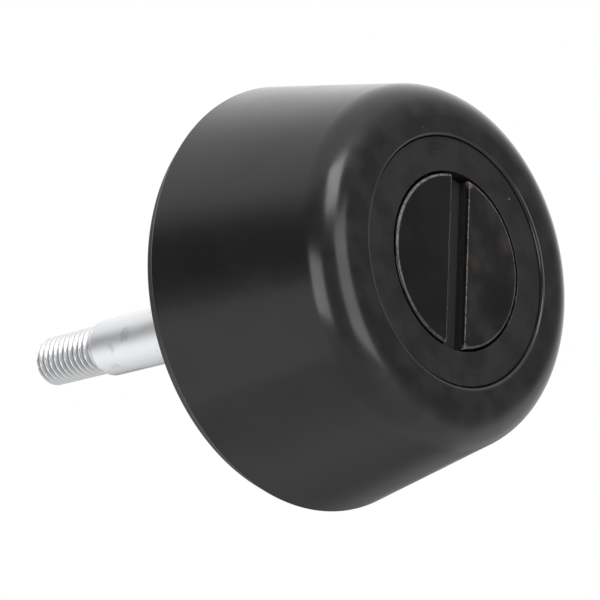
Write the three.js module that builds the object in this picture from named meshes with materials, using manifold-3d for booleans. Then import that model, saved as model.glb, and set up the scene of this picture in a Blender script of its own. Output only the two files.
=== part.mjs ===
// Heavy-duty furniture levelling foot, in millimetres, standing on its sole.
// The origin is the centre of the sole on the floor and +Z runs up the stud.
// The foot stands still while the stud and its slotted drive disc turn in it about Z.

import * as THREE from 'three';
import { mergeVertices } from 'three/addons/utils/BufferGeometryUtils.js';
import Module from 'manifold-3d';

// ---------------------------------------------------------------- clearances
const SEAT_GAP = 0.1; // between pieces that are fastened together
const RUN_GAP = 0.1; // round and under what turns on a bearing
const FACE_GAP = 0.3; // between the turning disc and the still collar
const CUT_GAP = 0.3; // round a piece that fits a cut-out
const OVERSHOOT = 1; // how far a cutter reaches past what it cuts

// ---------------------------------------------------------------- outer cover
const COVER_HEIGHT = 36.5; // sole to rear edge
const REAR_R = 39.7;
const SOLE_R = 31.7; // where the tapered side would meet the floor
const COVER_WALL = 3.4;
const EDGE_ROUND = 7.5;
const REAR_EDGE_ROUND = 0.8;
const LIP_ROUND = 0.9;

// ---------------------------------------------------------------- drive disc
const DISC_R = 15.75;
const DISC_SUNK = 0.4; // how far its face is above the floor
const DISC_RIM_T = 3.2; // thickness of the rim that shows in the sole
const DISC_CHAMFER = 0.35;
const NECK_DEPTH = 2.75; // of the groove that the collar's tongue runs in
const NECK_H = 4.2;
const FLANGE_STEP = 1.55; // how far the hidden flange stands out past the rim
const DISC_FLANGE_T = 2.6;
const SLOT_WIDTH = 4.7;
const SLOT_DEPTH = 2.5;
const SOCKET_FLOOR_T = 1; // disc material left between the slot and the socket

// ---------------------------------------------------------------- split collar
const COLLAR_R = 22.4; // edge of the ring that shows in the sole
const COLLAR_SUNK = 0.6;
const COLLAR_STEP = 2.6; // how far it reaches behind the cover's lip
const COLLAR_SPLIT = 0.16; // gap between the two halves

// ---------------------------------------------------------------- stud
const SHANK_R = 5.7;
const SHANK_TOP = 92.5; // height of the shoulder over the sole
const SHOULDER_H = 2.8; // cone from the shank down to the thread
const STUD_TOP = 111.5;
const THREAD_CREST_R = 4.92; // M10 x 1.5
const THREAD_ROOT_R = 4.1;
const THREAD_PITCH = 1.5;
const THREAD_FLANK = 0.63; // half the width of the ridge at its foot
const THREAD_CREST = 0.15; // and at its crest
const THREAD_BURIED = 0.3; // how far the ridge is rooted in the stud
const THREAD_END = 1.05; // from the last turn to the tip
const TIP_CHAMFER = 1.4;
const HEX_ACROSS_FLATS = 9.6; // drive end, in the disc's socket
const STUD_FLANGE_R = 12.5;
const STUD_FLANGE_T = 3.6;
const PIN_R = 1.25;
const PIN_UP_NECK = 0.6; // share of the neck's height that lies below the pin's centre

// ---------------------------------------------------------------- core
const WEB_T = 7.6; // floor of the core that carries the load
const BOSS_ROOM = 0.9; // round the stud's flange
const BOSS_WALL = 2.6;
const CORE_WALL = 3.6; // between the pockets and the cover, at its thinnest
const CORE_FRONT_T = 1; // least width of its front edge round the collar
const RIB_COUNT = 6;
const RIB_T = 2.5;

// ---------------------------------------------------------------- small pieces
const BUSHING_WALL = 2.1;
const BUSHING_FLANGE_STEP = 3;
const BUSHING_FLANGE_T = 1.2;
const LIFT_WASHER_T = 0.8;
const LIFT_WASHER_STEP = 0.9; // how far it stays inside the disc's flange
const THRUST_WASHER_T = 1.2;
const BACK_PLATE_STEP = 1.4; // how far it stays inside the cover's rear edge
const BACK_PLATE_T = 2.3;
const BACK_PLATE_ROUND = 0.5;
const SEAL_T = 1.4;
const SCREW_COUNT = 4;
const SCREW_R = 1.6;
const SCREW_HEAD_R = 3.1;
const SCREW_HEAD_H = 2.2;
const SCREW_CROWN_R = 2.17; // of the flat top of its head
const RECESS_LENGTH = 3.4;
const RECESS_WIDTH = 0.85;
const COLLAR_SCREW_REACH = 4.6; // into the collar
const PLATE_SCREW_REACH = 8; // into the core

// ---------------------------------------------------------------- worked out from the above
const DISC_RIM_TOP = DISC_SUNK + DISC_RIM_T;
const NECK_R = DISC_R - NECK_DEPTH;
const NECK_TOP = DISC_RIM_TOP + NECK_H;
const DISC_FLANGE_R = DISC_R + FLANGE_STEP;
const DISC_TOP = NECK_TOP + DISC_FLANGE_T;
const HEX_TOP = DISC_TOP + RUN_GAP;
const SOCKET_FLOOR = DISC_SUNK + SLOT_DEPTH + SOCKET_FLOOR_T;
const PIN_HEIGHT = DISC_RIM_TOP + PIN_UP_NECK * NECK_H;
const LIP_BORE_R = COLLAR_R + FACE_GAP / 2;
const COLLAR_FLANGE_R = COLLAR_R + COLLAR_STEP;
const COLLAR_POCKET_R = COLLAR_FLANGE_R + CUT_GAP;
const WEB_BOTTOM = DISC_TOP + LIFT_WASHER_T + 2 * RUN_GAP;
const COLLAR_SCREW_TIP = WEB_BOTTOM - COLLAR_SCREW_REACH;
const COLLAR_SCREW_CIRCLE_R = (DISC_FLANGE_R + FACE_GAP + COLLAR_FLANGE_R) / 2;
const WEB_TOP = WEB_BOTTOM + WEB_T;
const BUSHING_BORE_R = SHANK_R + RUN_GAP;
const BUSHING_R = BUSHING_BORE_R + BUSHING_WALL;
const BUSHING_SEAT_R = BUSHING_R + SEAT_GAP;
const STUD_FLANGE_BOTTOM = WEB_TOP + THRUST_WASHER_T + 2 * SEAT_GAP;
const BOSS_BORE_R = STUD_FLANGE_R + BOSS_ROOM;
const BOSS_R = BOSS_BORE_R + BOSS_WALL;
const CORE_TOP = COVER_HEIGHT - SEAT_GAP;
const PLATE_BOTTOM = COVER_HEIGHT + SEAT_GAP;
const PLATE_TOP = PLATE_BOTTOM + BACK_PLATE_T;
const BACK_PLATE_R = REAR_R - BACK_PLATE_STEP;
const SIDE_SLOPE = (REAR_R - SOLE_R) / COVER_HEIGHT; // radius gained for each mm of height
const SIDE_TILT = Math.atan(SIDE_SLOPE);
const CORE_INSET = COVER_WALL + SEAT_GAP;
const POCKET_R = sideRadius(CORE_INSET, WEB_TOP) - CORE_WALL;
const PLATE_SCREW_TIP = PLATE_BOTTOM - PLATE_SCREW_REACH;
const PLATE_SCREW_CIRCLE_R = (POCKET_R + sideRadius(CORE_INSET, PLATE_SCREW_TIP)) / 2;

// ---------------------------------------------------------------- roundness of the solids
const LARGE_SEGMENTS = 48;
const MEDIUM_SEGMENTS = 32;
const SMALL_SEGMENTS = 12;
const ARC_STEPS = 5;
const THREAD_STEPS = 16; // per turn

const wasm = await Module();
wasm.setup();

// ================================================================ helpers

// Keeps only the position, joins shared vertices and drops triangles that shrank to a line.
function welded(geometry) {
  const bare = geometry.clone();
  bare.deleteAttribute('normal');
  bare.deleteAttribute('uv');
  const merged = mergeVertices(bare, 1e-4);
  const index = merged.getIndex().array;
  const kept = [];
  for (let i = 0; i < index.length; i += 3) {
    const [a, b, c] = index.slice(i, i + 3);
    if (a !== b && b !== c && c !== a) kept.push(a, b, c);
  }
  merged.setIndex(kept);
  return merged;
}

function toSolid(geometry) {
  const shape = welded(geometry);
  return new wasm.Manifold(new wasm.Mesh({
    numProp: 3,
    vertProperties: new Float32Array(shape.getAttribute('position').array),
    triVerts: new Uint32Array(shape.getIndex().array),
  }));
}

function toGeometry(solid) {
  const mesh = solid.getMesh();
  const geometry = new THREE.BufferGeometry();
  geometry.setAttribute('position', new THREE.BufferAttribute(mesh.vertProperties, 3));
  geometry.setIndex(new THREE.BufferAttribute(mesh.triVerts, 1));
  return geometry;
}

// Turns a profile of [radius, height] points round Z. The outside runs upwards.
function turned(profile, segments = LARGE_SEGMENTS) {
  const points = profile.map(([radius, height]) => new THREE.Vector2(radius, height));
  return welded(new THREE.LatheGeometry(points, segments).rotateX(Math.PI / 2));
}

// A ring's closed profile: its section is a rectangle.
function ring(innerR, outerR, bottom, top, segments = MEDIUM_SEGMENTS) {
  return turned([
    [innerR, bottom],
    [outerR, bottom],
    [outerR, top],
    [innerR, top],
    [innerR, bottom],
  ], segments);
}

// Points on an arc about [centreR, centreH], from one angle to another in degrees.
function arc(centreR, centreH, radius, from, to, steps = ARC_STEPS) {
  const points = [];
  for (let i = 0; i <= steps; i += 1) {
    const angle = THREE.MathUtils.degToRad(from + ((to - from) * i) / steps);
    points.push([centreR + radius * Math.cos(angle), centreH + radius * Math.sin(angle)]);
  }
  return points;
}

// An upright cylinder from one height to another.
function post(radius, bottom, top, segments = SMALL_SEGMENTS) {
  const cylinder = new THREE.CylinderGeometry(radius, radius, top - bottom, segments);
  return cylinder.rotateX(Math.PI / 2).translate(0, 0, (bottom + top) / 2);
}

// An upright hexagonal bar with its flats facing +Y and -Y.
function hexBar(acrossFlats, bottom, top) {
  const corners = new THREE.CylinderGeometry(
    acrossFlats / Math.sqrt(3),
    acrossFlats / Math.sqrt(3),
    top - bottom,
    6,
  );
  return corners.rotateX(Math.PI / 2).rotateZ(Math.PI / 6).translate(0, 0, (bottom + top) / 2);
}

// A cylinder that lies along Y through the axis.
function crossPin(radius, length) {
  return new THREE.CylinderGeometry(radius, radius, length, SMALL_SEGMENTS).translate(0, 0, PIN_HEIGHT);
}

// Angles of the screws, halfway between the slot and its square direction.
function screwAngle(number) {
  return ((number - 0.5) * 2 * Math.PI) / SCREW_COUNT;
}

function onCircle(geometry, circleR, angle) {
  return geometry.translate(circleR * Math.cos(angle), circleR * Math.sin(angle), 0);
}

// ================================================================ the pieces

// Radius of the tapered side at a height, or of a surface a given distance inside it.
function sideRadius(inset, height) {
  return SOLE_R + SIDE_SLOPE * height - inset / Math.cos(SIDE_TILT);
}

// The round edge between the sole and the side, or the same edge a given distance inside it.
function roundEdge(inset) {
  const sharpness = Math.tan((Math.PI / 2 - SIDE_TILT) / 2);
  const widest = (SOLE_R - LIP_BORE_R - LIP_ROUND) / sharpness;
  const radius = Math.min(EDGE_ROUND, widest);
  const sideEnd = -THREE.MathUtils.radToDeg(SIDE_TILT);
  return arc(SOLE_R - radius * sharpness, radius, radius - inset, -90, sideEnd);
}

function outerCover() {
  const roundBase = COVER_HEIGHT - REAR_EDGE_ROUND;
  const roundR = sideRadius(0, roundBase) - REAR_EDGE_ROUND;
  return turned([
    ...arc(LIP_BORE_R + LIP_ROUND, LIP_ROUND, LIP_ROUND, 180, 270, 3),
    ...roundEdge(0),
    ...arc(roundR, roundBase, REAR_EDGE_ROUND, 0, 90, 3),
    [sideRadius(COVER_WALL, COVER_HEIGHT), COVER_HEIGHT],
    ...roundEdge(COVER_WALL).reverse(),
    [LIP_BORE_R, COVER_WALL],
    [LIP_BORE_R, LIP_ROUND],
  ]);
}

// The core fills the cover: its floor is the web and its front edge stands round the collar.
function coreOutline() {
  const edge = roundEdge(CORE_INSET).filter(([radius]) => radius > COLLAR_POCKET_R + CORE_FRONT_T);
  const frontHeight = edge[0][1];
  return [
    [COLLAR_POCKET_R, frontHeight],
    ...edge,
    [sideRadius(CORE_INSET, CORE_TOP), CORE_TOP],
    [BOSS_BORE_R, CORE_TOP],
    [BOSS_BORE_R, WEB_TOP],
    [BUSHING_SEAT_R, WEB_TOP],
    [BUSHING_SEAT_R, WEB_BOTTOM],
    [COLLAR_POCKET_R, WEB_BOTTOM],
    [COLLAR_POCKET_R, frontHeight],
  ];
}

// One pocket between two ribs: a sector with flat sides parallel to its ribs.
function ribPocket(number) {
  const step = (2 * Math.PI) / RIB_COUNT;
  const innerTurn = Math.asin(RIB_T / 2 / BOSS_R);
  const outerTurn = Math.asin(RIB_T / 2 / POCKET_R);
  const sector = new THREE.Shape();
  sector.absarc(0, 0, POCKET_R, outerTurn, step - outerTurn, false);
  sector.absarc(0, 0, BOSS_R, step - innerTurn, innerTurn, true);
  const pocket = new THREE.ExtrudeGeometry(sector, {
    depth: COVER_HEIGHT - WEB_TOP,
    bevelEnabled: false,
    curveSegments: ARC_STEPS,
  });
  return pocket.rotateZ(number * step).translate(0, 0, WEB_TOP);
}

function core() {
  let solid = toSolid(turned(coreOutline()));
  for (let i = 0; i < RIB_COUNT; i += 1) {
    solid = solid.subtract(toSolid(ribPocket(i)));
  }
  for (let i = 1; i <= SCREW_COUNT; i += 1) {
    const throughWeb = post(SCREW_R + SEAT_GAP, WEB_BOTTOM - OVERSHOOT, WEB_TOP + OVERSHOOT);
    const pilot = post(SCREW_R + SEAT_GAP, PLATE_SCREW_TIP - CUT_GAP, PLATE_BOTTOM + OVERSHOOT);
    solid = solid
      .subtract(toSolid(onCircle(throughWeb, COLLAR_SCREW_CIRCLE_R, screwAngle(i))))
      .subtract(toSolid(onCircle(pilot, PLATE_SCREW_CIRCLE_R, screwAngle(i))));
  }
  return toGeometry(solid);
}

// Both halves are cut from one ring whose tongue runs in the disc's neck.
function collarHalf(side) {
  const top = WEB_BOTTOM - SEAT_GAP;
  const tongueBottom = DISC_RIM_TOP + FACE_GAP;
  const tongueTop = NECK_TOP - FACE_GAP;
  const flangeBottom = COVER_WALL + SEAT_GAP;
  const whole = turned([
    [DISC_R + FACE_GAP, COLLAR_SUNK],
    [COLLAR_R, COLLAR_SUNK],
    [COLLAR_R, flangeBottom],
    [COLLAR_FLANGE_R, flangeBottom],
    [COLLAR_FLANGE_R, top],
    [DISC_FLANGE_R + FACE_GAP, top],
    [DISC_FLANGE_R + FACE_GAP, tongueTop],
    [NECK_R + FACE_GAP, tongueTop],
    [NECK_R + FACE_GAP, tongueBottom],
    [DISC_R + FACE_GAP, tongueBottom],
    [DISC_R + FACE_GAP, COLLAR_SUNK],
  ], MEDIUM_SEGMENTS);
  const reach = 2 * COLLAR_FLANGE_R;
  const otherHalf = new THREE.BoxGeometry(reach * 2, reach, reach);
  otherHalf.translate(0, -side * (reach / 2 - COLLAR_SPLIT / 2), 0);
  let solid = toSolid(whole).subtract(toSolid(otherHalf));
  for (let i = 1; i <= SCREW_COUNT; i += 1) {
    const hole = post(SCREW_R + SEAT_GAP, COLLAR_SCREW_TIP - CUT_GAP, WEB_BOTTOM + OVERSHOOT);
    solid = solid.subtract(toSolid(onCircle(hole, COLLAR_SCREW_CIRCLE_R, screwAngle(i))));
  }
  return toGeometry(solid);
}

function driveDisc() {
  const body = turned([
    [0, DISC_SUNK],
    [DISC_R - DISC_CHAMFER, DISC_SUNK],
    [DISC_R, DISC_SUNK + DISC_CHAMFER],
    [DISC_R, DISC_RIM_TOP],
    [NECK_R, DISC_RIM_TOP],
    [NECK_R, NECK_TOP],
    [DISC_FLANGE_R, NECK_TOP],
    [DISC_FLANGE_R, DISC_TOP],
    [0, DISC_TOP],
  ], MEDIUM_SEGMENTS);
  const slot = new THREE.BoxGeometry(3 * DISC_R, SLOT_WIDTH, 2 * SLOT_DEPTH);
  const socket = hexBar(HEX_ACROSS_FLATS + CUT_GAP, SOCKET_FLOOR, DISC_TOP + OVERSHOOT);
  return toGeometry(toSolid(body)
    .subtract(toSolid(slot.translate(0, 0, DISC_SUNK)))
    .subtract(toSolid(socket))
    .subtract(toSolid(crossPin(PIN_R + CUT_GAP / 2, 3 * NECK_R))));
}

function drivePin() {
  return crossPin(PIN_R, 2 * (NECK_R - CUT_GAP));
}

// The helical ridge of the thread: a trapezium carried round the root cylinder and faded out at both ends.
function threadRidge(bottom, top) {
  const turns = (top - bottom) / THREAD_PITCH;
  const count = Math.round(turns * THREAD_STEPS);
  const buriedR = THREAD_ROOT_R - THREAD_BURIED;
  const positions = [];
  const index = [];
  for (let i = 0; i <= count; i += 1) {
    const angle = (i / THREAD_STEPS) * 2 * Math.PI;
    const height = bottom + (i / THREAD_STEPS) * THREAD_PITCH;
    const fade = Math.min(1, i / THREAD_STEPS, (count - i) / THREAD_STEPS);
    const crestR = THREE.MathUtils.lerp(THREAD_ROOT_R - THREAD_BURIED / 2, THREAD_CREST_R, fade);
    const section = [
      [buriedR, -THREAD_FLANK],
      [crestR, -THREAD_CREST],
      [crestR, THREAD_CREST],
      [buriedR, THREAD_FLANK],
    ];
    for (const [radius, shift] of section) {
      positions.push(radius * Math.cos(angle), radius * Math.sin(angle), height + shift);
    }
  }
  for (let i = 0; i < count; i += 1) {
    for (let k = 0; k < 4; k += 1) {
      const a = 4 * i + k;
      const b = 4 * i + ((k + 1) % 4);
      index.push(a, a + 4, b, b, a + 4, b + 4);
    }
  }
  const last = 4 * count;
  index.push(0, 1, 2, 0, 2, 3, last, last + 2, last + 1, last, last + 3, last + 2);
  const geometry = new THREE.BufferGeometry();
  geometry.setAttribute('position', new THREE.Float32BufferAttribute(positions, 3));
  geometry.setIndex(index);
  return geometry;
}

function stud() {
  const threadBottom = SHANK_TOP + SHOULDER_H;
  const body = turned([
    [0, HEX_TOP],
    [SHANK_R, HEX_TOP],
    [SHANK_R, STUD_FLANGE_BOTTOM],
    [STUD_FLANGE_R, STUD_FLANGE_BOTTOM],
    [STUD_FLANGE_R, STUD_FLANGE_BOTTOM + STUD_FLANGE_T],
    [SHANK_R, STUD_FLANGE_BOTTOM + STUD_FLANGE_T],
    [SHANK_R, SHANK_TOP],
    [THREAD_ROOT_R, threadBottom],
    [THREAD_ROOT_R, STUD_TOP - TIP_CHAMFER / 2],
    [THREAD_ROOT_R - TIP_CHAMFER / 2, STUD_TOP],
    [0, STUD_TOP],
  ], MEDIUM_SEGMENTS);
  const driveEnd = hexBar(HEX_ACROSS_FLATS, SOCKET_FLOOR + CUT_GAP, HEX_TOP + OVERSHOOT);
  const ridge = threadRidge(threadBottom - THREAD_PITCH / 2, STUD_TOP - THREAD_END);
  return toGeometry(toSolid(body)
    .add(toSolid(driveEnd))
    .add(toSolid(ridge))
    .subtract(toSolid(crossPin(PIN_R + CUT_GAP / 2, 2 * HEX_ACROSS_FLATS))));
}

// It reaches down through the lift washer and keeps it centred.
function lowerBushing() {
  return ring(BUSHING_BORE_R, BUSHING_R, HEX_TOP, WEB_TOP);
}

// Stops the spindle from being pulled up out of the foot.
function liftWasher() {
  return ring(BUSHING_SEAT_R, DISC_FLANGE_R - LIFT_WASHER_STEP, HEX_TOP, HEX_TOP + LIFT_WASHER_T);
}

// Carries the load from the stud's flange to the web.
function thrustWasher() {
  const bottom = WEB_TOP + SEAT_GAP;
  return ring(BUSHING_BORE_R, STUD_FLANGE_R, bottom, bottom + THRUST_WASHER_T);
}

function backPlate() {
  const roundBase = PLATE_TOP - BACK_PLATE_ROUND;
  let solid = toSolid(turned([
    [BUSHING_SEAT_R, PLATE_BOTTOM],
    [BACK_PLATE_R, PLATE_BOTTOM],
    ...arc(BACK_PLATE_R - BACK_PLATE_ROUND, roundBase, BACK_PLATE_ROUND, 0, 90, 2),
    [BUSHING_SEAT_R, PLATE_TOP],
    [BUSHING_SEAT_R, PLATE_BOTTOM],
  ]));
  for (let i = 1; i <= SCREW_COUNT; i += 1) {
    const hole = post(SCREW_R + CUT_GAP, PLATE_BOTTOM - OVERSHOOT, PLATE_TOP + OVERSHOOT);
    solid = solid.subtract(toSolid(onCircle(hole, PLATE_SCREW_CIRCLE_R, screwAngle(i))));
  }
  return toGeometry(solid);
}

// Its flange is under the back plate and its barrel stops below the seal.
function rearBushing() {
  const flangeTop = PLATE_BOTTOM - SEAT_GAP;
  const barrelTop = PLATE_TOP - SEAL_T - SEAT_GAP;
  return turned([
    [BUSHING_BORE_R, flangeTop - BUSHING_FLANGE_T],
    [BUSHING_R + BUSHING_FLANGE_STEP, flangeTop - BUSHING_FLANGE_T],
    [BUSHING_R + BUSHING_FLANGE_STEP, flangeTop],
    [BUSHING_R, flangeTop],
    [BUSHING_R, barrelTop],
    [BUSHING_BORE_R, barrelTop],
    [BUSHING_BORE_R, flangeTop - BUSHING_FLANGE_T],
  ], MEDIUM_SEGMENTS);
}

function shaftSeal() {
  return ring(BUSHING_BORE_R, BUSHING_R, PLATE_TOP - SEAL_T, PLATE_TOP);
}

// A pan-head screw that points down, with a plain cross recess in its head.
function screw(headSeat, tip) {
  const headTop = headSeat + SCREW_HEAD_H;
  const body = turned([
    [0, tip],
    [SCREW_R, tip + SCREW_R],
    [SCREW_R, headSeat],
    [SCREW_HEAD_R, headSeat],
    [SCREW_HEAD_R, headSeat + SCREW_HEAD_H / 2],
    [SCREW_CROWN_R, headTop],
    [0, headTop],
  ], SMALL_SEGMENTS);
  const recess = new THREE.BoxGeometry(RECESS_LENGTH, RECESS_WIDTH, SCREW_HEAD_H);
  recess.translate(0, 0, headTop);
  const crossed = recess.clone().rotateZ(Math.PI / 2);
  return toGeometry(toSolid(body).subtract(toSolid(recess)).subtract(toSolid(crossed)));
}

function collarScrew(number) {
  const piece = screw(WEB_TOP + SEAT_GAP, COLLAR_SCREW_TIP);
  return onCircle(piece, COLLAR_SCREW_CIRCLE_R, screwAngle(number));
}

function plateScrew(number) {
  const piece = screw(PLATE_TOP + SEAT_GAP, PLATE_SCREW_TIP);
  return onCircle(piece, PLATE_SCREW_CIRCLE_R, screwAngle(number));
}

// ================================================================ the assembly

function finish(color, roughness, metalness) {
  return new THREE.MeshStandardMaterial({ color, roughness, metalness });
}

function addTo(group, name, geometry, material) {
  geometry.computeVertexNormals();
  const mesh = new THREE.Mesh(geometry, material);
  mesh.name = name;
  group.add(mesh);
}

function footBody() {
  const foot = new THREE.Group();
  addTo(foot, 'outer_cover', outerCover(), finish(0x141416, 0.32, 0));
  addTo(foot, 'core', core(), finish(0x2a2b2d, 0.6, 0));
  addTo(foot, 'collar_half_left', collarHalf(-1), finish(0x1b1c1e, 0.55, 0));
  addTo(foot, 'collar_half_right', collarHalf(1), finish(0x1b1c1e, 0.55, 0));
  addTo(foot, 'lower_bushing', lowerBushing(), finish(0xd9d5c6, 0.5, 0));
  addTo(foot, 'lift_washer', liftWasher(), finish(0xe2dfd2, 0.5, 0));
  addTo(foot, 'thrust_washer', thrustWasher(), finish(0xb9bcc0, 0.3, 1));
  addTo(foot, 'back_plate', backPlate(), finish(0x17181a, 0.45, 0));
  addTo(foot, 'rear_bushing', rearBushing(), finish(0xd9d5c6, 0.5, 0));
  addTo(foot, 'shaft_seal', shaftSeal(), finish(0x101011, 0.7, 0));
  for (let i = 1; i <= SCREW_COUNT; i += 1) {
    addTo(foot, `collar_screw_${i}`, collarScrew(i), finish(0xaeb2b7, 0.35, 1));
    addTo(foot, `plate_screw_${i}`, plateScrew(i), finish(0x2b2c2f, 0.4, 1));
  }
  return foot;
}

function spindle() {
  const turning = new THREE.Group();
  addTo(turning, 'stud', stud(), finish(0xc9ccd0, 0.25, 1));
  addTo(turning, 'drive_disc', driveDisc(), finish(0x101012, 0.15, 0));
  addTo(turning, 'drive_pin', drivePin(), finish(0x9a9da2, 0.35, 1));
  return turning;
}

const levellingFoot = new THREE.Group();
levellingFoot.add(footBody());
levellingFoot.add(spindle());

export default levellingFoot;
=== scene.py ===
"""A furniture levelling foot standing on its sole, in metres, in the CAD model's frame.

The cover, split collar, drive disc, stud, back plate, seal and plate screws are rebuilt with
fine surfaces on the CAD model's sizes. The pieces inside keep their CAD meshes. The camera
looks up at the sole from below the floor.
"""

import math

import bmesh
import bpy
from mathutils import Matrix, Vector, noise


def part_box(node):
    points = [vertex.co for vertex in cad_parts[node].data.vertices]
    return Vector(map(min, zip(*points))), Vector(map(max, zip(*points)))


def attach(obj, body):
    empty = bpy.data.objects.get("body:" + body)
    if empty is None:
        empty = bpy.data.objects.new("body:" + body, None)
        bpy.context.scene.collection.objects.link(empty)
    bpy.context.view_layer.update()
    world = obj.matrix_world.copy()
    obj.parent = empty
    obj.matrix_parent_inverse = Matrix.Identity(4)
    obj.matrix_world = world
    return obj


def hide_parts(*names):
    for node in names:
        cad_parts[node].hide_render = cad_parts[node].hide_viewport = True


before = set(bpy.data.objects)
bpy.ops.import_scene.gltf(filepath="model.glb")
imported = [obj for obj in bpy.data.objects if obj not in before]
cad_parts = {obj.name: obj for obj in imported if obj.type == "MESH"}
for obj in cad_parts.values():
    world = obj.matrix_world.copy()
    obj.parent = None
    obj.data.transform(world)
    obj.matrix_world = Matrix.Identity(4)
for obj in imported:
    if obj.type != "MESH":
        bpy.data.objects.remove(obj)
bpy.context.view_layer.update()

TURN = 2 * math.pi
MM = 0.001

# ---------------------------------------------------------------- places, from the CAD boxes
COLLAR_LOW, COLLAR_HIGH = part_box("collar_half_right")
DISC_LOW, DISC_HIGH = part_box("drive_disc")
STUD_LOW, STUD_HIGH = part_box("stud")
PLATE_LOW, PLATE_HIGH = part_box("back_plate")
SEAL_LOW, SEAL_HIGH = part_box("shaft_seal")
PIN_LOW, PIN_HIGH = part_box("drive_pin")
SCREW_LOW, SCREW_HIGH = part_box("plate_screw_1")
COLLAR_SCREW_LOW, COLLAR_SCREW_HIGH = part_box("collar_screw_1")
COVER_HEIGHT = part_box("outer_cover")[1].z
WASHER_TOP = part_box("thrust_washer")[1].z

# ---------------------------------------------------------------- clearances
SEAT_GAP = 0.1 * MM  # between pieces that are fastened together or run on each other
FACE_GAP = 0.4 * MM  # between the turning disc and the still collar
HEX_GAP = 0.3 * MM  # round the stud's hexagonal end in its socket
HOLE_GAP = 0.3 * MM  # round a screw in the back plate
OVERSHOOT = 1 * MM  # how far a cutter reaches past what it cuts

# ---------------------------------------------------------------- cover and collar
COVER_WALL = 3.4 * MM
SOLE_R = 31.7 * MM  # where the tapered side would meet the floor
REAR_R = 39.62 * MM
EDGE_ROUND = 7.5 * MM
REAR_EDGE_ROUND = 0.4 * MM
LIP_BORE_R = 22.35 * MM
LIP_ROUND = 0.85 * MM

COLLAR_R = 22.2 * MM
COLLAR_SPLIT = 0.16 * MM  # gap between the two halves
COLLAR_EDGE = 0.17 * MM
SEAM_EDGE = 0.07 * MM
SEAM_NUB = (0.34 * MM, 0.14 * MM, 0.05 * MM)  # half sizes of the flash at the seam's end
SEAM_NUB_INSET = 0.95 * MM
SEAM_NUB_SIDE = 0.35 * MM
BURR_LENGTH = 0.35 * MM
BURR_HEIGHT = 0.14 * MM
BURR_RISE = 0.12 * MM  # of a burr's middle over the ring's face
BURRS = ((100, 0.26 * MM), (119, 0.18 * MM))  # place in degrees and reach into the disc's gap

# ---------------------------------------------------------------- drive disc
DISC_FLANGE_R = DISC_HIGH.x
DISC_FLANGE_STEP = 1.6 * MM  # how far the hidden flange stands out past the rim
DISC_R = DISC_FLANGE_R - DISC_FLANGE_STEP
NECK_DEPTH = 2.7 * MM  # of the groove that the collar's tongue runs in
NECK_R = DISC_R - NECK_DEPTH
DISC_RIM_T = 3.2 * MM  # thickness of the rim that shows in the sole
DISC_RIM_TOP = DISC_LOW.z + DISC_RIM_T
NECK_H = 4.2 * MM
NECK_TOP = DISC_RIM_TOP + NECK_H
DISC_EDGE = 0.7 * MM
HIDDEN_EDGE = 0.15 * MM  # on the disc's edges inside the foot
SLOT_WIDTH = 4.7 * MM
SLOT_DEPTH = 2.5 * MM
SLOT_EDGE = 0.27 * MM
SLOT_CHIPS = ((2.8, 0.45, 0.2), (-4.6, 0.3, 0.13), (13.2, 0.25, 0.16))  # X, length, depth in mm
HEX_FLATS = 9.6 * MM

# ---------------------------------------------------------------- stud and pin
SHANK_R = 5.7 * MM
SHANK_ROUND = 0.2 * MM  # at the shank's end, where the shoulder begins
SHOULDER_AND_THREAD = 19 * MM
SHANK_TOP = STUD_HIGH.z - SHOULDER_AND_THREAD
STUD_CHAMFER = 0.4 * MM  # on the hexagon's end and the flange
HEX_TOP = DISC_HIGH.z + SEAT_GAP
FLANGE_R = STUD_HIGH.x
FLANGE_BOTTOM = WASHER_TOP + SEAT_GAP
FLANGE_T = 3.6 * MM
FLANGE_TOP = FLANGE_BOTTOM + FLANGE_T
CREST_R = 4.92 * MM
ROOT_R = 4.1 * MM
ROOT_SHARE = 0.14  # of half a pitch that lies in the thread's root
FLANK_SHARE = 0.68  # of half a pitch that the thread's flank takes; the crest has the rest
SHOULDER_SLOPE = 0.58  # radius lost for each height from the shank to the thread
PITCH = 1.5 * MM
TIP_CHAMFER = 1.4 * MM
PIN_R = (PIN_HIGH.z - PIN_LOW.z) / 2
PIN_HEIGHT = (PIN_LOW.z + PIN_HIGH.z) / 2
PIN_BORE_R = PIN_R + HEX_GAP / 2

# ---------------------------------------------------------------- back plate, seal and screws
PLATE_BORE_R = SEAL_HIGH.x + SEAT_GAP
PLATE_ROUND = 0.5 * MM
SEAL_BORE_R = SHANK_R + SEAT_GAP
SCREW_COUNT = 4
SCREW_R = 1.6 * MM
SCREW_TIP_R = 0.25 * MM
SCREW_HEAD_H = 2.2 * MM
RECESS_DEPTH = 1.3 * MM

# ---------------------------------------------------------------- fineness of the meshes
FINE = 256  # steps round the large pieces
MEDIUM = 128
SMALL = 40
COVER_ARC_STEPS = 20
THREAD_STEPS = 16  # up each turn of the thread
FIRST_THREAD_STEP = 3  # the ones before it are the shank's rounded end
SHARP_ANGLE = math.radians(38)  # edges sharper than this are shaded as edges
SLIVER = 0.001 * MM
ON_AXIS = 1e-7


# ================================================================ mesh helpers


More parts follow.
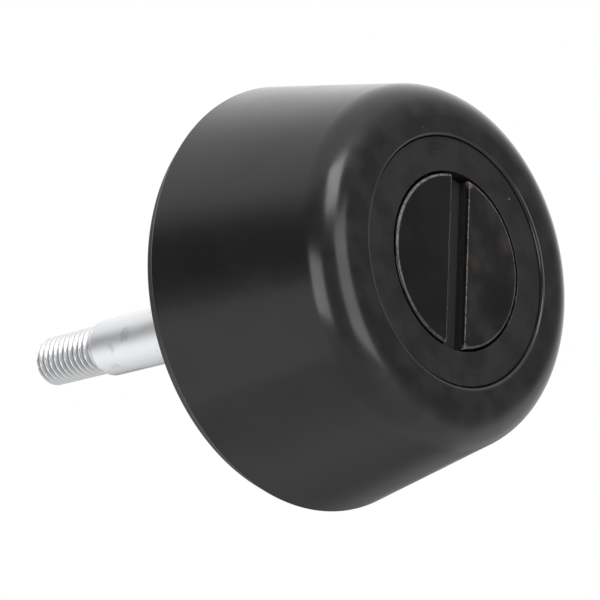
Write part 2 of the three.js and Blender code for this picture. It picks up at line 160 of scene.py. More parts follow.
def rounded(corners, steps=4):
    """A closed profile: each (radius, height, fillet) corner becomes an arc of its fillet."""
    points = []
    for i, (radius, height, fillet) in enumerate(corners):
        here = Vector((radius, height))
        if fillet == 0:
            points.append(here)
            continue
        before = (Vector(corners[i - 1][:2]) - here).normalized()
        after = (Vector(corners[(i + 1) % len(corners)][:2]) - here).normalized()
        half = before.angle(after) / 2
        reach = fillet / math.tan(half)
        centre = here + (before + after).normalized() * fillet / math.sin(half)
        first = here + before * reach - centre
        last = here + after * reach - centre
        start = math.atan2(first.y, first.x)
        sweep = (math.atan2(last.y, last.x) - start + math.pi) % TURN - math.pi
        for k in range(steps + 1):
            angle = start + sweep * k / steps
            points.append(centre + fillet * Vector((math.cos(angle), math.sin(angle))))
    return points


def turned(profile, segments):
    """A closed solid: a closed profile of (radius, height) carried once round Z."""
    bm = bmesh.new()
    rings = []
    for radius, height in profile:
        if radius < ON_AXIS:
            rings.append([bm.verts.new((0, 0, height))] * segments)
            continue
        rings.append(
            [
                bm.verts.new(
                    (
                        radius * math.cos(TURN * k / segments),
                        radius * math.sin(TURN * k / segments),
                        height,
                    )
                )
                for k in range(segments)
            ]
        )
    for i, ring in enumerate(rings):
        join_rings(bm, ring, rings[(i + 1) % len(rings)])
    bmesh.ops.recalc_face_normals(bm, faces=bm.faces)
    return bm


def join_rings(bm, lower, upper):
    """Faces between two rings of vertices, either of which may be one repeated vertex."""
    count = len(lower)
    for k in range(count):
        j = (k + 1) % count
        corners = []
        for vertex in (lower[k], lower[j], upper[j], upper[k]):
            if vertex not in corners:
                corners.append(vertex)
        if len(corners) > 2:
            bm.faces.new(corners)


def bar(radius_at, bottom, top, segments, spin=0.0):
    """An upright bar whose radius depends on the angle."""
    bm = bmesh.new()
    ends = []
    for height in (bottom, top):
        ends.append(
            [
                bm.verts.new(
                    (
                        radius_at(TURN * k / segments) * math.cos(TURN * k / segments + spin),
                        radius_at(TURN * k / segments) * math.sin(TURN * k / segments + spin),
                        height,
                    )
                )
                for k in range(segments)
            ]
        )
    join_rings(bm, ends[0], ends[1])
    bm.faces.new(reversed(ends[0]))
    bm.faces.new(ends[1])
    bmesh.ops.recalc_face_normals(bm, faces=bm.faces)
    return bm


def post(x, y, radius, bottom, top, segments=SMALL):
    """A plain round cutter standing at (x, y)."""
    bm = bar(lambda angle: radius, bottom, top, segments)
    bmesh.ops.translate(bm, verts=bm.verts, vec=(x, y, 0))
    return bm


def block(low, high):
    """A box cutter between two corners."""
    bm = bmesh.new()
    bmesh.ops.create_cube(bm, size=1)
    size = [b - a for a, b in zip(low, high)]
    middle = [(a + b) / 2 for a, b in zip(low, high)]
    bmesh.ops.scale(bm, verts=bm.verts, vec=size)
    bmesh.ops.translate(bm, verts=bm.verts, vec=middle)
    return bm


def hexagon(across_flats):
    """The radius of a hexagon at an angle, with its flats facing +Y and -Y."""

    def radius_at(angle):
        from_flat = (angle + TURN / 12) % (TURN / 6) - TURN / 12
        return across_flats / 2 / math.cos(from_flat)

    return radius_at


def as_object(bm, name):
    """An object made from a bmesh, which is freed."""
    mesh = bpy.data.meshes.new(name)
    bm.to_mesh(mesh)
    bm.free()
    made = bpy.data.objects.new(name, mesh)
    bpy.context.scene.collection.objects.link(made)
    return made


def apply_modifiers(obj):
    """Turns the object's modifiers into mesh."""
    bpy.context.view_layer.update()
    shaped = obj.evaluated_get(bpy.context.evaluated_depsgraph_get())
    mesh = bpy.data.meshes.new_from_object(shaped)
    obj.modifiers.clear()
    obj.data = mesh


def combine(obj, bm, operation):
    """Joins or cuts a shape to or from the object, exactly."""
    other = as_object(bm, "other")
    boolean = obj.modifiers.new("boolean", "BOOLEAN")
    boolean.operation = operation
    boolean.solver = "EXACT"
    boolean.object = other
    apply_modifiers(obj)
    bpy.data.objects.remove(other)


def carve(obj, cutters):
    """Cuts each cutter's shape out of the object."""
    for bm in cutters:
        combine(obj, bm, "DIFFERENCE")


def weld(obj, bm):
    """Joins a shape to the object as one solid."""
    combine(obj, bm, "UNION")


def grain(x, y, z, size, seed):
    """A small lumpy grain of material, or a chip when it is carved out."""
    bm = bmesh.new()
    bmesh.ops.create_icosphere(bm, subdivisions=2, radius=1)
    for vertex in bm.verts:
        lump = noise.noise(vertex.co * 1.3 + Vector((seed, 0, 0)))
        vertex.co *= 1 + 0.35 * lump
    bmesh.ops.scale(bm, verts=bm.verts, vec=size)
    bmesh.ops.translate(bm, verts=bm.verts, vec=(x, y, z))
    return bm


def soften(obj, width, angle=50):
    """Rounds the edges sharper than an angle in degrees."""
    bevel = obj.modifiers.new("soften", "BEVEL")
    bevel.width = width
    bevel.segments = 2
    bevel.limit_method = "ANGLE"
    bevel.angle_limit = math.radians(angle)
    bevel.use_clamp_overlap = True
    bevel.miter_outer = "MITER_ARC"
    apply_modifiers(obj)


def close_slivers(obj):
    """Merges points that a cut or a bevel left closer together than anything in the design."""
    bm = bmesh.new()
    bm.from_mesh(obj.data)
    bmesh.ops.remove_doubles(bm, verts=bm.verts, dist=SLIVER)
    bmesh.ops.dissolve_degenerate(bm, edges=bm.edges, dist=SLIVER)
    bm.to_mesh(obj.data)
    bm.free()


def finish_piece(obj, body, slot, material, *nodes):
    """Clean mesh, smooth shading, a material, and the piece's place in the frame."""
    close_slivers(obj)
    obj.data.polygons.foreach_set("use_smooth", [True] * len(obj.data.polygons))
    obj.data.set_sharp_from_angle(angle=SHARP_ANGLE)
    weighted = obj.modifiers.new("flat faces", "WEIGHTED_NORMAL")
    weighted.keep_sharp = True
    obj.data.materials.clear()
    obj.data.materials.append(material)
    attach(obj, body)
    if nodes:
        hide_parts(*nodes)


# ================================================================ material helpers


SPECULAR = 0.38  # of the plastics and rubbers, as it does nothing on a metal


class Finish:
    """A Principled material and short calls that add nodes to it."""

    def __init__(self, name, roughness, metallic=0.0):
        self.material = bpy.data.materials.new(name)
        self.material.use_nodes = True
        self.tree = self.material.node_tree
        self.shader = self.tree.nodes["Principled BSDF"]
        self.shader.inputs["Roughness"].default_value = roughness
        self.shader.inputs["Metallic"].default_value = metallic
        self.shader.inputs["Specular IOR Level"].default_value = SPECULAR
        self.place = self.tree.nodes.new("ShaderNodeTexCoord").outputs["Object"]

    def feed(self, socket, value):
        """Links another node's output to a socket, or sets its number or colour."""
        if isinstance(value, bpy.types.NodeSocket):
            self.tree.links.new(value, socket)
        else:
            socket.default_value = value

    def node(self, kind, **links):
        """A new node with the named sockets fed."""
        made = self.tree.nodes.new(kind)
        for name, value in links.items():
            self.feed(made.inputs[name], value)
        return made

    def stretched(self, scale):
        """Object coordinates scaled unevenly."""
        return self.node("ShaderNodeMapping", Vector=self.place, Scale=scale).outputs[0]

    def noise(self, size, detail=3.0, rough=0.5, place=None):
        """Cloudy variation from 0 to 1 whose patches are about size across."""
        made = self.node(
            "ShaderNodeTexNoise",
            Vector=place or self.place,
            Scale=1 / size,
            Detail=detail,
            Roughness=rough,
        )
        return made.outputs[0]

    def split(self, axis):
        """One of the object coordinates, in metres."""
        return self.node("ShaderNodeSeparateXYZ", Vector=self.place).outputs[axis]

    def radius(self):
        """Distance from the Z axis, in metres."""
        flat = self.node("ShaderNodeVectorMath", Vector=self.place)
        flat.operation = "MULTIPLY"
        flat.inputs[1].default_value = (1, 1, 0)
        length = self.node("ShaderNodeVectorMath", Vector=flat.outputs[0])
        length.operation = "LENGTH"
        return length.outputs["Value"]

    def blot(self, x, y, size, place=None):
        """1 at a point of the sole, fading to 0 at size from it."""
        away = self.node("ShaderNodeVectorMath", Vector=place or self.place)
        away.operation = "DISTANCE"
        away.inputs[1].default_value = (x * MM, y * MM, DISC_LOW.z)
        return self.ramp(away.outputs["Value"], size * MM, 0.2 * size * MM)

    def bent(self, size, amount):
        """Object coordinates pushed about by a noise, so that round spots turn ragged."""
        wobble = self.node("ShaderNodeTexNoise", Vector=self.place, Scale=1 / size)
        centred = self.node("ShaderNodeVectorMath", Vector=wobble.outputs["Color"])
        centred.operation = "SUBTRACT"
        centred.inputs[1].default_value = (0.5, 0.5, 0.5)
        scaled = self.node("ShaderNodeVectorMath", Vector=centred.outputs[0])
        scaled.operation = "SCALE"
        scaled.inputs["Scale"].default_value = amount
        moved = self.node("ShaderNodeVectorMath", Vector=self.place)
        moved.operation = "ADD"
        self.tree.links.new(scaled.outputs[0], moved.inputs[1])
        return moved.outputs[0]

    def specks(self, size, share):
        """1 inside tiny scattered dots, 0 elsewhere."""
        cells = self.node("ShaderNodeTexVoronoi", Vector=self.place, Scale=1 / size)
        dots = self.ramp(cells.outputs["Distance"], share, share * 0.6)
        chosen = self.ramp(self.noise(size * 3.1, 0), 0.62, 0.66)
        return self.times(dots, chosen)

    def scratches(self, length, width, share):
        """1 along thin, gently curved lines that run across X and Y."""
        lines = self.node(
            "ShaderNodeMapping",
            Vector=self.bent(length, length * 0.6),
            Rotation=(0, 0, 0.7),
            Scale=(1 / length, 1 / width, 1 / length),
        )
        strands = self.noise(1.0, 1.0, 0.4, lines.outputs[0])
        return self.ramp(strands, share, share + 0.04)

    def edges(self, width, low=0.02, high=0.2):
        """1 along outer and inner edges, 0 on the faces between them."""
        soft = self.node("ShaderNodeBevel", Radius=width)
        soft.samples = 6
        plain = self.node("ShaderNodeNewGeometry").outputs["Normal"]
        alike = self.node("ShaderNodeVectorMath")
        alike.operation = "DOT_PRODUCT"
        self.tree.links.new(soft.outputs[0], alike.inputs[0])
        self.tree.links.new(plain, alike.inputs[1])
        return self.ramp(alike.outputs["Value"], 1 - low, 1 - high)

    def ramp(self, value, start, end, low=0.0, high=1.0):
        """A value from start to end stretched to low to high, and held beyond them."""
        made = self.node("ShaderNodeMapRange", Value=value)
        made.interpolation_type = "SMOOTHSTEP"
        made.inputs["From Min"].default_value = start
        made.inputs["From Max"].default_value = end
        made.inputs["To Min"].default_value = low
        made.inputs["To Max"].default_value = high
        return made.outputs[0]

    def math(self, operation, first, second):
        """The result of a Math node on two values."""
        made = self.tree.nodes.new("ShaderNodeMath")
        made.operation = operation
        self.feed(made.inputs[0], first)
        self.feed(made.inputs[1], second)
        return made.outputs[0]

    def times(self, first, *others):
        """The product of two or more values."""
        for other in others:
            first = self.math("MULTIPLY", first, other)
        return first

    def plus(self, first, second):
        """The sum of two values."""
        return self.math("ADD", first, second)

    def mix(self, amount, first, second):
        """A colour between two others."""
        made = self.tree.nodes.new("ShaderNodeMix")
        made.data_type = "RGBA"
        self.tree.links.new(amount, made.inputs["Factor"])
        for socket, value in zip((made.inputs[6], made.inputs[7]), (first, second)):
            plain = isinstance(value, tuple)
            self.feed(socket, (*value, 1) if plain else value)
        return made.outputs[2]

    def set(self, name, value):
        """Feeds one of the shader's sockets."""
        self.feed(self.shader.inputs[name], value)

    def relief(self, *layers):
        """Bump from (height, depth) layers, laid one on another."""
        normal = None
        for height, depth in layers:
            bump = self.node("ShaderNodeBump", Height=height, Distance=depth, Strength=1.0)
            if normal:
                self.tree.links.new(normal, bump.inputs["Normal"])
            normal = bump.outputs[0]
        self.tree.links.new(normal, self.shader.inputs["Normal"])


def grey(value):
    """A neutral colour."""
    return (value, value, value)


# ================================================================ materials


def cover_rubber():
    """Satin black elastomer, a little dusty and cloudy towards the sole."""
    f = Finish("cover_rubber", 0.2)
    clouds = f.noise(14 * MM, 3, 0.55)
    near_sole = f.ramp(f.split("Z"), 5 * MM, 1 * MM)
    patches = f.times(near_sole, f.ramp(f.noise(5 * MM, 1), 0.35, 0.7))
    wear = f.times(f.edges(0.5 * MM), near_sole)
    dust = f.specks(5 * MM, 0.035)
    base = f.mix(f.ramp(clouds, 0.35, 0.65), (0.0065, 0.0067, 0.0071), (0.0088, 0.009, 0.0094))
    patched = f.mix(f.times(patches, 0.7), base, (0.0175, 0.0177, 0.0182))
    worn = f.mix(f.times(wear, 0.8), patched, (0.075, 0.075, 0.077))
    f.set("Base Color", f.mix(f.times(dust, 0.5), worn, grey(0.1)))
    smooth = f.ramp(f.noise(9 * MM, 4), 0.3, 0.7, 0.17, 0.24)
    f.set("Roughness", f.plus(smooth, f.times(wear, 0.2)))
    f.relief((f.noise(22 * MM, 0), 0.1 * MM), (f.noise(1.1 * MM, 2), 0.003 * MM))
    return f.material


def collar_plastic():
    """Matt black plastic with faint turned rings, scratches and specks of dust."""
    f = Finish("collar_plastic", 0.5)
    clouds = f.noise(6 * MM, 3, 0.5)
    grain = f.noise(0.35 * MM, 3, 0.6)
    from_axis = f.node("ShaderNodeCombineXYZ", X=f.radius()).outputs[0]
    rings = f.noise(0.45 * MM, 1.5, 0.6, from_axis)
    marks = f.scratches(9 * MM, 0.25 * MM, 0.76)
    wear = f.edges(0.25 * MM)
    dust = f.specks(2.6 * MM, 0.075)
    base = f.mix(f.ramp(clouds, 0.3, 0.7), (0.0042, 0.0044, 0.0048), (0.0102, 0.0104, 0.0108))
    turned_in = f.mix(f.ramp(rings, 0.5, 0.7), base, (0.0145, 0.0147, 0.015))
    marked = f.mix(f.times(marks, 0.2), turned_in, grey(0.04))
    worn = f.mix(f.times(wear, 0.8), marked, grey(0.07))
    f.set("Base Color", f.mix(dust, worn, grey(0.3)))
    f.set("Roughness", f.ramp(clouds, 0.3, 0.7, 0.33, 0.44))
    f.relief((f.noise(12 * MM, 0), 0.08 * MM), (rings, 0.008 * MM), (grain, 0.006 * MM))
    return f.material


def disc_gloss():
    """Glossy, handled on one side of its slot, with a painted reddish reflection, rubbed edges
    and a rim that carry painted highlights, and a paler slot floor.
    """
    f = Finish("disc_gloss", 0.12)
    height = f.split("Z")
    across = f.split("Y")
    at_face = f.ramp(height, DISC_LOW.z + 1 * MM, DISC_LOW.z + 0.6 * MM)
    in_slot = f.ramp(height, DISC_LOW.z + SLOT_DEPTH - 0.3 * MM, DISC_LOW.z + SLOT_DEPTH)
    side = f.times(f.ramp(across, 1 * MM, 3.5 * MM), at_face)
    ragged = f.bent(5 * MM, 6 * MM)
    clean = f.math("SUBTRACT", 1, f.blot(-4, 11.5, 7.5, ragged))
    clouds = f.ramp(f.noise(5.5 * MM, 1.5, 0.5), 0.3, 0.7, 0.2, 0.9)
    smudge = f.times(side, clean, clouds)
    # Painted reflection: two reddish spots on the handled side stand in for a dim reddish
    # reflection.
    reddish_reflection_spots = f.plus(f.blot(7, 13, 3, ragged), f.blot(0.5, 4, 2.8, ragged))
    stain = f.ramp(f.noise(7 * MM, 2, 0.5), 0.35, 0.65)
    plain = f.mix(stain, grey(0.0016), grey(0.0038))
    base = f.mix(smudge, plain, (0.0105, 0.0107, 0.011))
    with_painted_reflection = f.mix(f.times(reddish_reflection_spots, side, 0.35), base, (0.036, 0.0185, 0.0175))
    # Paler grey on the slot's walls and floor, with a noise mottling the walls.
    dust = f.ramp(f.noise(0.8 * MM, 3, 0.6), 0.3, 0.7, 0.6, 1)
    below_face = f.math("SUBTRACT", 1, at_face)
    walled = f.mix(f.times(below_face, dust), with_painted_reflection, grey(0.017))
    paler_in_slot = f.mix(in_slot, walled, grey(0.0165))
    patchy = f.ramp(f.noise(0.8 * MM, 4, 0.7), 0.35, 0.6, 0.2, 1)
    # Rubbed wear and a painted highlight along the slot's edges: pale grey on the -Y edge,
    # paler and pinkish on the +Y edge.
    slot_edge_wear_and_highlight = f.times(f.edges(0.4 * MM), at_face, patchy)
    right_side = f.ramp(across, -1 * MM, 1 * MM)
    edge_wear_and_highlight_tone = f.mix(right_side, (0.2, 0.2, 0.203), (0.36, 0.31, 0.302))
    with_edge_wear_and_highlights = f.mix(slot_edge_wear_and_highlight, paler_in_slot, edge_wear_and_highlight_tone)
    corners = f.plus(f.blot(14.9, 2.4, 1.2), f.blot(-15.1, 2.4, 0.9))
    chafed = f.mix(f.times(corners, patchy), with_edge_wear_and_highlights, (0.13, 0.085, 0.08))
    # Rubbed wear and a painted highlight on the rounded rim, fading to about a third towards
    # -X.
    rim_start = f.ramp(f.radius(), DISC_R - 0.95 * DISC_EDGE, DISC_R - 0.7 * DISC_EDGE)
    rim_end = f.ramp(f.radius(), DISC_R - 0.2 * DISC_EDGE, DISC_R - 0.35 * DISC_EDGE)
    rim_highlight_fade = f.ramp(f.split("X"), -11 * MM, 2 * MM, 0.35, 1)
    rim = f.times(rim_start, rim_end, rim_highlight_fade)
    rim_wear_and_highlight = f.times(rim, at_face, patchy)
    f.set("Base Color", f.mix(rim_wear_and_highlight, chafed, (0.12, 0.118, 0.115)))
    dull = f.math("MAXIMUM", f.times(smudge, 0.8), f.math("MAXIMUM", in_slot, rim))
    f.set("Roughness", f.ramp(dull, 0, 1, 0.1, 0.45))
    f.relief((f.noise(9 * MM, 0), 0.05 * MM), (f.noise(0.5 * MM, 2), 0.002 * MM))
    return f.material


def stud_zinc():
    """Bright zinc plate with fine turning lines, a few dents and painted shade in the thread
    roots.
    """
    f = Finish("stud_zinc", 0.45, 1.0)
    clouds = f.noise(6 * MM, 4, 0.6, f.stretched((1, 1, 0.25)))
    turning = f.noise(0.22 * MM, 2, 0.6, f.stretched((0.04, 0.04, 1)))
    spots = f.ramp(f.noise(4.5 * MM, 3, 0.55), 0.61, 0.68)
    # Painted shade: a darker colour in the thread roots.
    thread_root_shade = f.ramp(f.radius(), ROOT_R + 0.6 * MM, ROOT_R + 0.1 * MM)
    base = f.mix(f.ramp(clouds, 0.35, 0.65), (0.63, 0.638, 0.65), (0.7, 0.706, 0.716))
    spotted = f.mix(f.times(spots, 0.4), base, (0.4, 0.405, 0.42))
    with_root_shade = f.mix(f.times(thread_root_shade, 0.8), spotted, (0.22, 0.225, 0.24))
    f.set("Base Color", f.mix(f.times(f.edges(0.3 * MM), 0.4), with_root_shade, grey(0.84)))
    f.set("Roughness", f.ramp(clouds, 0.3, 0.7, 0.4, 0.48))
    f.relief((turning, 0.003 * MM), (spots, -0.012 * MM))
    return f.material


def plate_paint():
    """Satin black paint, scratched and rubbed through at its edges."""
    f = Finish("plate_paint", 0.42)
    clouds = f.noise(10 * MM, 4, 0.6)
    marks = f.scratches(12 * MM, 0.2 * MM, 0.75)
    wear = f.times(f.edges(0.4 * MM), f.ramp(f.noise(2 * MM, 4, 0.7), 0.45, 0.6))
    base = f.mix(f.ramp(clouds, 0.3, 0.7), grey(0.016), grey(0.024))
    worn = f.mix(wear, base, grey(0.16))
    f.set("Base Color", f.mix(f.times(marks, 0.5), worn, grey(0.07)))
    f.set("Roughness", f.ramp(clouds, 0.3, 0.7, 0.36, 0.5))
    f.relief((f.noise(0.8 * MM, 2), 0.012 * MM), (marks, -0.008 * MM))
    return f.material


def seal_rubber():
    """Dull black rubber."""
    f = Finish("seal_rubber", 0.65)
    clouds = f.noise(2.5 * MM, 4, 0.6)
    base = f.mix(f.ramp(clouds, 0.3, 0.7), grey(0.012), grey(0.022))
    f.set("Base Color", f.mix(f.times(f.edges(0.3 * MM), 0.4), base, grey(0.06)))
    f.set("Roughness", f.ramp(clouds, 0.3, 0.7, 0.55, 0.75))
    f.relief((f.noise(0.4 * MM, 3), 0.01 * MM))
    return f.material


def metal(name, dark, light, roughness):
    """Plated or plain steel with cloudy tone, fine turning lines and bright edges."""
    f = Finish(name, roughness, 1.0)
    clouds = f.noise(2.2 * MM, 4, 0.6)
    lines = f.noise(0.2 * MM, 2, 0.6, f.stretched((1, 1, 0.08)))
    base = f.mix(f.ramp(clouds, 0.3, 0.7), grey(dark), grey(light))
    bright = tuple(min(1, 1.35 * value) for value in grey(light))
    f.set("Base Color", f.mix(f.times(f.edges(0.2 * MM), 0.7), base, bright))
    f.set("Roughness", f.ramp(clouds, 0.3, 0.7, roughness - 0.06, roughness + 0.08))
    f.relief((lines, 0.004 * MM))
    return f.material


def moulded(name, dark, light, roughness):
    """Moulded plastic with a faint grain and paler rubbed edges."""
    f = Finish(name, roughness)
    clouds = f.noise(6 * MM, 4, 0.6)
    base = f.mix(f.ramp(clouds, 0.3, 0.7), dark, light)
    rubbed = tuple(min(1, 1.3 * value + 0.02) for value in light)
    f.set("Base Color", f.mix(f.times(f.edges(0.3 * MM), 0.5), base, rubbed))
    f.set("Roughness", f.ramp(clouds, 0.3, 0.7, roughness - 0.06, roughness + 0.06))
    f.relief((f.noise(0.5 * MM, 3), 0.01 * MM))
    return f.material


# ================================================================ the pieces that show


def side_radius(inset, height):
    """Radius of the tapered side, or of a surface inside it, at a height."""
    slope = (REAR_R - SOLE_R) / COVER_HEIGHT
    return SOLE_R + slope * height - inset * math.hypot(1, slope)


def outer_cover(material):
    """The soft tapered shell with its rounded edge and the lip round the collar."""
    inner_rear = side_radius(COVER_WALL, COVER_HEIGHT)
    inner_sole = side_radius(COVER_WALL, COVER_WALL)
    profile = rounded(
        [
            (LIP_BORE_R, 0, LIP_ROUND),
            (SOLE_R, 0, EDGE_ROUND),
            (REAR_R, COVER_HEIGHT, REAR_EDGE_ROUND),
            (inner_rear, COVER_HEIGHT, 0),
            (inner_sole, COVER_WALL, EDGE_ROUND - COVER_WALL),
            (LIP_BORE_R, COVER_WALL, 0),
        ],
        steps=COVER_ARC_STEPS,
    )
    shell = as_object(turned(profile, FINE), "cover_shell")
    finish_piece(shell, "foot", "cover_rubber", material, "outer_cover")


def screw_places(first_low, first_high):
    """Where the screws of a circle stand, from the box of the first."""
    x = (first_low.x + first_high.x) / 2
    y = (first_low.y + first_high.y) / 2
    circle_r = math.hypot(x, y)
    first = math.atan2(y, x)
    angles = [first + TURN * k / SCREW_COUNT for k in range(SCREW_COUNT)]
    return [(circle_r * math.cos(a), circle_r * math.sin(a)) for a in angles]


def collar_ring():
    """The whole collar before it is split: its tongue runs in the disc's neck."""
    low, high = COLLAR_LOW.z, COLLAR_HIGH.z
    bore_r = DISC_R + FACE_GAP
    flange_r = COLLAR_HIGH.y
    flange_low = COVER_WALL + SEAT_GAP
    clear_r = DISC_FLANGE_R + FACE_GAP
    tongue_r = NECK_R + FACE_GAP
    tongue_low = DISC_RIM_TOP + FACE_GAP
    tongue_high = NECK_TOP - FACE_GAP
    profile = rounded(
        [
            (bore_r, low, COLLAR_EDGE),
            (COLLAR_R, low, COLLAR_EDGE),
            (COLLAR_R, flange_low, 0),
            (flange_r, flange_low, COLLAR_EDGE),
            (flange_r, high, COLLAR_EDGE),
            (clear_r, high, COLLAR_EDGE),
            (clear_r, tongue_high, 0),
            (tongue_r, tongue_high, COLLAR_EDGE),
            (tongue_r, tongue_low, COLLAR_EDGE),
            (bore_r, tongue_low, 0),
        ]
    )
    return turned(profile, FINE)


def collar_half(name, side, material):
    """One half of the collar, on the +Y side for side 1 and the -Y side for side -1."""
    bm = collar_ring()
    geometry = bm.verts[:] + bm.edges[:] + bm.faces[:]
    bmesh.ops.bisect_plane(
        bm,
        geom=geometry,
        plane_co=(0, side * COLLAR_SPLIT / 2, 0),
        plane_no=(0, -side, 0),
        clear_outer=True,
    )
    open_edges = [edge for edge in bm.edges if edge.is_boundary]
    bmesh.ops.holes_fill(bm, edges=open_edges, sides=0)
    bmesh.ops.recalc_face_normals(bm, faces=bm.faces)
    half = as_object(bm, "collar_ring_" + name)
    soften(half, SEAM_EDGE, angle=60)
    top = COLLAR_HIGH.z + OVERSHOOT
    bottom = COLLAR_SCREW_LOW.z - FACE_GAP
    places = screw_places(COLLAR_SCREW_LOW, COLLAR_SCREW_HIGH)
    radius = SCREW_R + SEAT_GAP
    carve(half, [post(x, y, radius, bottom, top) for x, y in places if y * side > 0])
    if side > 0:
        add_flash(half)
    finish_piece(half, "foot", "collar_plastic", material, "collar_half_" + name)


def add_flash(half):
    """Moulding flash: a nub at the outer end of the seam and two burrs in the disc's gap."""
    low = COLLAR_LOW.z
    nub_r = COLLAR_R - SEAM_NUB_INSET
    weld(half, grain(nub_r, SEAM_NUB_SIDE, low + SEAM_NUB[2], SEAM_NUB, 1))
    bore_r = DISC_R + FACE_GAP
    for degrees, reach in BURRS:
        x = bore_r * math.cos(math.radians(degrees))
        y = bore_r * math.sin(math.radians(degrees))
        size = (BURR_LENGTH, reach, BURR_HEIGHT)
        weld(half, grain(x, y, low + BURR_RISE, size, degrees))


def drive_disc(material):
    """The disc with its coin slot, its groove for the collar and the stud's socket."""
    low, high = DISC_LOW.z, DISC_HIGH.z
    profile = rounded(
        [
            (0, low, 0),
            (DISC_R, low, DISC_EDGE),
            (DISC_R, DISC_RIM_TOP, HIDDEN_EDGE),
            (NECK_R, DISC_RIM_TOP, 0),
            (NECK_R, NECK_TOP, 0),
            (DISC_FLANGE_R, NECK_TOP, HIDDEN_EDGE),
            (DISC_FLANGE_R, high, HIDDEN_EDGE),
            (0, high, 0),
        ]
    )
    disc = as_object(turned(profile, FINE), "slotted_disc")
    slot = block(
        (-2 * DISC_R, -SLOT_WIDTH / 2, low - OVERSHOOT),
        (2 * DISC_R, SLOT_WIDTH / 2, low + SLOT_DEPTH),
    )
    carve(disc, [slot])
    soften(disc, SLOT_EDGE)
    for x, length, depth in SLOT_CHIPS:
        size = (length * MM, depth * MM, depth * MM)
        carve(disc, [grain(x * MM, -SLOT_WIDTH / 2, low, size, x)])
    socket_low = STUD_LOW.z - HEX_GAP
    socket = bar(hexagon(HEX_FLATS + HEX_GAP), socket_low, high + OVERSHOOT, 6, TURN / 12)
    carve(disc, [socket, cross_bore(PIN_BORE_R, 3 * NECK_R)])
    finish_piece(disc, "spindle", "disc_gloss", material, "drive_disc")


def cross_bore(radius, length):
    """A round cutter along Y on the drive pin's line."""
    bm = bar(lambda angle: radius, -length / 2, length / 2, SMALL)
    bmesh.ops.rotate(bm, verts=bm.verts, matrix=Matrix.Rotation(TURN / 4, 3, "X"))
    bmesh.ops.translate(bm, verts=bm.verts, vec=(0, 0, PIN_HEIGHT))
    return bm


def thread_radius(angle, height):
    """Radius of the rolled thread, which grows out of the shoulder and ends in a chamfer."""
    phase = (height / PITCH - angle / TURN) % 1
    climb = abs(2 * phase - 1)
    share = min(1, max(0, (climb - ROOT_SHARE) / FLANK_SHARE))
    thread = ROOT_R + (CREST_R - ROOT_R) * share
    shoulder = SHANK_R - SHOULDER_SLOPE * (height - SHANK_TOP)
    tip = CREST_R - (height - (STUD_HIGH.z - TIP_CHAMFER))
    return min(max(thread, shoulder), tip)


def stud_rows():
    """(height, radius at an angle) rows from the drive end to the tip."""
    hexagonal = hexagon(HEX_FLATS)
    rows = [
        (STUD_LOW.z, lambda a: hexagonal(a) - STUD_CHAMFER),
        (STUD_LOW.z + STUD_CHAMFER, hexagonal),
        (HEX_TOP, hexagonal),
    ]
    plain = [
        (HEX_TOP, SHANK_R),
        (FLANGE_BOTTOM, SHANK_R),
        (FLANGE_BOTTOM, FLANGE_R - STUD_CHAMFER),
        (FLANGE_BOTTOM + STUD_CHAMFER, FLANGE_R),
        (FLANGE_TOP - STUD_CHAMFER, FLANGE_R),
        (FLANGE_TOP, FLANGE_R - STUD_CHAMFER),
        (FLANGE_TOP, SHANK_R),
        (SHANK_TOP - SHANK_ROUND, SHANK_R),
        (SHANK_TOP + SHANK_ROUND / 2, SHANK_R - 0.3 * SHANK_ROUND),
    ]
    rows += [(height, lambda a, r=radius: r) for height, radius in plain]
    steps = THREAD_STEPS * round(SHOULDER_AND_THREAD / PITCH)
    for k in range(FIRST_THREAD_STEP, steps + 1):
        height = SHANK_TOP + SHOULDER_AND_THREAD * k / steps
        rows.append((height, lambda a, h=height: thread_radius(a, h)))
    return rows


def stud(material):
    """The hexagonal end, flange, shank, shoulder and helical thread in one piece."""
    bm = bmesh.new()
    rings = []
    angles = [TURN * k / MEDIUM for k in range(MEDIUM)]
    for height, radius_at in stud_rows():
        rings.append(
            [
                bm.verts.new((radius_at(a) * math.cos(a), radius_at(a) * math.sin(a), height))
                for a in angles
            ]
        )
    for lower, upper in zip(rings, rings[1:]):
        join_rings(bm, lower, upper)
    bm.faces.new(reversed(rings[0]))
    bm.faces.new(rings[-1])
    bmesh.ops.recalc_face_normals(bm, faces=bm.faces)
    made = as_object(bm, "threaded_stud")
    carve(made, [cross_bore(PIN_BORE_R, 2 * HEX_FLATS)])
    finish_piece(made, "spindle", "stud_zinc", material, "stud")


def back_plate(material):
    """The thin plate behind the cover, with a hole for the seal and one for each screw."""
    low, high = PLATE_LOW.z, PLATE_HIGH.z
    outer_r = PLATE_HIGH.x
    profile = rounded(
        [
            (PLATE_BORE_R, low, PLATE_ROUND / 5),
            (outer_r, low, PLATE_ROUND / 5),
            (outer_r, high, PLATE_ROUND),
            (PLATE_BORE_R, high, PLATE_ROUND / 2),
        ]
    )
    plate = as_object(turned(profile, FINE), "rear_plate")
    places = screw_places(SCREW_LOW, SCREW_HIGH)
    radius = SCREW_R + HOLE_GAP
    bottom, top = low - OVERSHOOT, high + OVERSHOOT
    carve(plate, [post(x, y, radius, bottom, top) for x, y in places])
    finish_piece(plate, "foot", "plate_paint", material, "back_plate")


